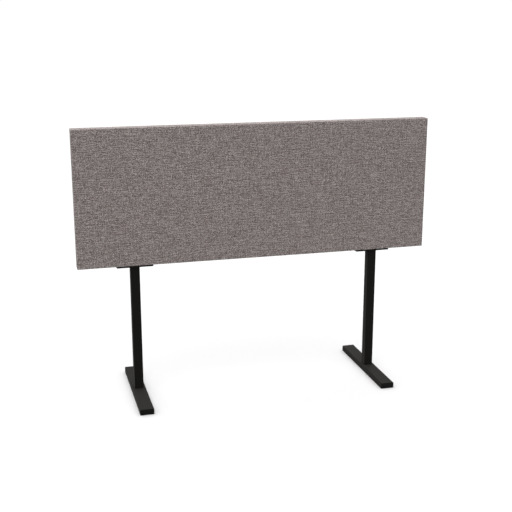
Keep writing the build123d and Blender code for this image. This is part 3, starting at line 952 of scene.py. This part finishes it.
def make_staples():
    """Staples along both long edges of the closing strip, in stretches that overlap.

    The middle stretch runs on behind both mounting plates, so some staples lie in the plates' hidden tops.
    """
    plate_gap, end_gap, row_y, sunk = 10 * MM, 3 * MM, 11 * MM, 0.18 * MM
    spacing, unevenness, seed = 55 * MM, 0.09, 11
    ends = [strip_low.x + end_gap]
    for side in SIDES[::-1]:
        low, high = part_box(f"{side}_mount_plate")
        ends += [low.x - plate_gap, high.x + plate_gap]
    ends.append(strip_high.x - end_gap)
    level = strip_low.z - sunk
    runs = [[(Vector((x, row * row_y, level)), DOWN) for x in stretch]
            for row in ENDS.values() for stretch in zip(ends[::2], ends[1::2])]
    crown, leg = 5.0, 3.0
    half = [(crown, -leg), (crown, -0.5), (crown - 0.35, -0.08), (crown * 0.7, 0.0)]
    staple = swept_wire([(-x, z, 1.0) for x, z in half] + [(x, z, 1.0) for x, z in half[::-1]], 0.42)
    repeat_along("closing_strip_staples", runs, staple, "bright_zinc",
                 spacing, unevenness, seed)


def make_welds():
    """Rippled weld beads, coated over: round each post under its plate, and along the glide bars."""
    spacing, ring_unevenness, ring_seed, bar_unevenness, bar_seed = 1.35 * MM, 0.08, 21, 0.1, 31
    post_radius, corner_turns, bar_length, bar_end_gap = 3 * MM, 5, 36 * MM, 4 * MM
    ripple = swept_wire([(-1.5, -0.2, 0.25), (-0.8, 0.15, 0.85), (0.0, 0.3, 1.0), (0.7, 0.1, 0.8),
                         (1.2, -0.3, 0.25)], 2.1, 10)
    for side in SIDES:
        low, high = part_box(f"{side}_post")
        centre = Vector(((low.x + high.x) / 2, 0, high.z))
        outline = rounded_outline((high.x - low.x) / 2, high.y, post_radius, corner_turns)
        ring = [(centre + point, (out + DOWN).normalized()) for point, out in outline]
        repeat_along(f"{side}_post_weld", [ring + ring[:1]], ripple, "black_powder_coat",
                     spacing, ring_unevenness, ring_seed)

        low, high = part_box(f"{side}_glide_nut_plates")
        runs = []
        for x, inwards in ((low.x, 1), (high.x, -1)):
            out = (DOWN + Vector((inwards, 0, 0))).normalized()
            for start in (low.y, high.y - bar_length):
                ends = (start + bar_end_gap, start + bar_length - bar_end_gap)
                runs.append([(Vector((x, y, low.z)), out) for y in ends])
        repeat_along(f"{side}_glide_bar_welds", runs, ripple, "black_powder_coat",
                     spacing, bar_unevenness, bar_seed)


# levelling glides
def around(reach, angle, height):
    """A point at a reach from the Z axis."""
    return reach * math.cos(angle), reach * math.sin(angle), height


def turned_mesh(name, profile, segments):
    """A closed body turned about Z from (radius, height) points, listed from the axis round to the axis."""
    return skinned(name, [
        [around(radius, angle, height) for angle in round_angles(segments if radius > same_spot else 1)]
        for radius, height in profile
    ])


def softened(profile, radius, steps=3):
    """The same profile in metres, with each of its corners between the ends rounded; both are given in mm."""
    points = [Vector(p) * MM for p in profile]
    largest_share = 0.45
    result = [points[0]]
    for before, here, after in zip(points, points[1:], points[2:]):
        cut = min(radius * MM, (before - here).length * largest_share, (after - here).length * largest_share)
        start = here + (before - here).normalized() * cut
        stop = here + (after - here).normalized() * cut
        for i in range(steps + 1):
            t = i / steps
            result.append(start * (1 - t) ** 2 + here * 2 * t * (1 - t) + stop * t ** 2)
    result.append(points[-1])
    return [tuple(p) for p in result]


def joined(name, *meshes):
    """Several closed shells as one mesh."""
    work = bmesh.new()
    for mesh in meshes:
        work.from_mesh(mesh)
    return finished(name, work)


def threaded_shank(radius, pitch, start, stop, segments=40, rows_per_turn=8):
    """A right-hand thread as one closed surface, with its end chamfered."""
    depth_share = 0.55
    # The teeth have a flat root, and the chamfer starts below it
    flank_slope, chamfer_slope, chamfer_depth = 1.15, 1.1, 1.1
    depth = pitch * depth_share
    rows = round((stop - start) / pitch * rows_per_turn)
    rings = []
    for row in range(rows + 1):
        height = start + (stop - start) * row / rows
        limit = radius - depth * chamfer_depth + max(0.0, stop - height) * chamfer_slope
        ring = []
        for k, angle in enumerate(round_angles(segments)):
            phase = ((height - start) / pitch - k / segments) % 1.0
            tooth = min(abs(phase - 0.5) * 2 * flank_slope, 1.0)
            ring.append(around(min(radius - depth * tooth, limit), angle, height))
        rings.append(ring)
    return skinned("thread", rings)


def hexagon_collar(across_flats, low, high, chamfer, turned_off, sides=36):
    """A hexagon whose corners are turned off on both faces, as on a real nut."""
    half = across_flats / 2
    corner = half / math.cos(math.pi / 6)
    face_limit = half - turned_off
    rings = []
    levels = ((low, face_limit), (low + chamfer, corner), (high - chamfer, corner), (high, face_limit))
    for height, limit in levels:
        ring = []
        for angle in round_angles(sides):
            off = (angle + math.pi / 6) % (math.pi / 3) - math.pi / 6
            ring.append(around(min(half / math.cos(off), limit), angle, height))
        rings.append(ring)
    return skinned("hexagon", rings)


def make_glides():
    """Moulded pads and threaded screws, in place of the plain turned solids."""
    pad_soft, pad_sides, pad_crisp_angle = 0.5, 64, 50
    head_soft, head_sides, screw_crisp_angle = 0.3, 40, 28
    # The screw's captive head and neck, in millimetres from the axis and from the floor at rest
    head_profile = [(0, 1.8), (5.4, 1.8), (5.4, 4.25), (3.45, 4.3), (3.45, 6.3), (0, 6.3)]
    across_flats, collar_low, collar_high = 13 * MM, 6.2 * MM, 9.7 * MM
    collar_chamfer, turned_off = 0.9 * MM, 0.2 * MM
    thread_radius, thread_pitch, thread_low, thread_high = 3.98 * MM, 1.25 * MM, 9.6 * MM, 23 * MM
    for glide in (f"{side}_{end}" for side in SIDES for end in ENDS):
        pad_low, pad_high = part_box(f"{glide}_glide_pad")
        centre = (pad_low + pad_high) / 2
        rim, top = (pad_high.x - pad_low.x) / 2 / MM, pad_high.z / MM
        # From the recess under the pad, over its rim and top, and down into the socket that holds the head
        pad_profile = [
            (0, 0.35), (9, 0.35), (9.6, 0), (rim - 0.9, 0), (rim, 0.9), (rim, 2.5), (13.2, top - 0.7),
            (12, top), (3.62, top), (3.62, 4.5), (5.6, 4.5), (5.6, 1.6), (0, 1.6),
        ]
        pad = turned_mesh(f"{glide}_moulded_pad", softened(pad_profile, pad_soft), pad_sides)
        head = turned_mesh("head", softened(head_profile, head_soft), head_sides)
        collar = hexagon_collar(across_flats, collar_low, collar_high, collar_chamfer, turned_off)
        shank = threaded_shank(thread_radius, thread_pitch, thread_low, thread_high)
        screw = joined(f"{glide}_threaded_screw", head, collar, shank)
        for mesh, part, finish, slot, crisp_angle in (
            (pad, "pad", "moulded_nylon", "glide_plastic", pad_crisp_angle),
            (screw, "screw", "bright_zinc", "zinc_steel", screw_crisp_angle),
        ):
            mesh.transform(Matrix.Translation((centre.x, centre.y, 0)))
            smooth_by_angle(mesh, crisp_angle)
            new_piece(mesh, finish, f"{glide}_{part}", f"{glide}_glide_{part}")


# finishes of the solids that stay
def paint_solids():
    """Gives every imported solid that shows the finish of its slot; the grain runs along each timber."""
    finish_of = {
        "black_steel": "black_powder_coat", "black_bolts": "black_oxide", "zinc_steel": "bright_zinc",
        "frame_timber": "rail_timber", "dowel_timber": "dowel_timber",
    }
    uprights = {"left_stile", "right_stile", "left_mullion", "right_mullion"}
    for row in frame["record"]["subparts"]:
        name, slot = row["node"], row["material_slot"]
        if slot in finish_of:
            material = finishes["upright_timber" if name in uprights else finish_of[slot]]
            for holder in frame["nodes"][name].material_slots:
                holder.material = material


studio()
finishes = make_finishes()
path_tree = along_path_tree()
make_wadding()
make_covers()
make_slabs()
make_closing_strip()
make_seam_stitches()
make_staples()
make_welds()
make_glides()
paint_solids()
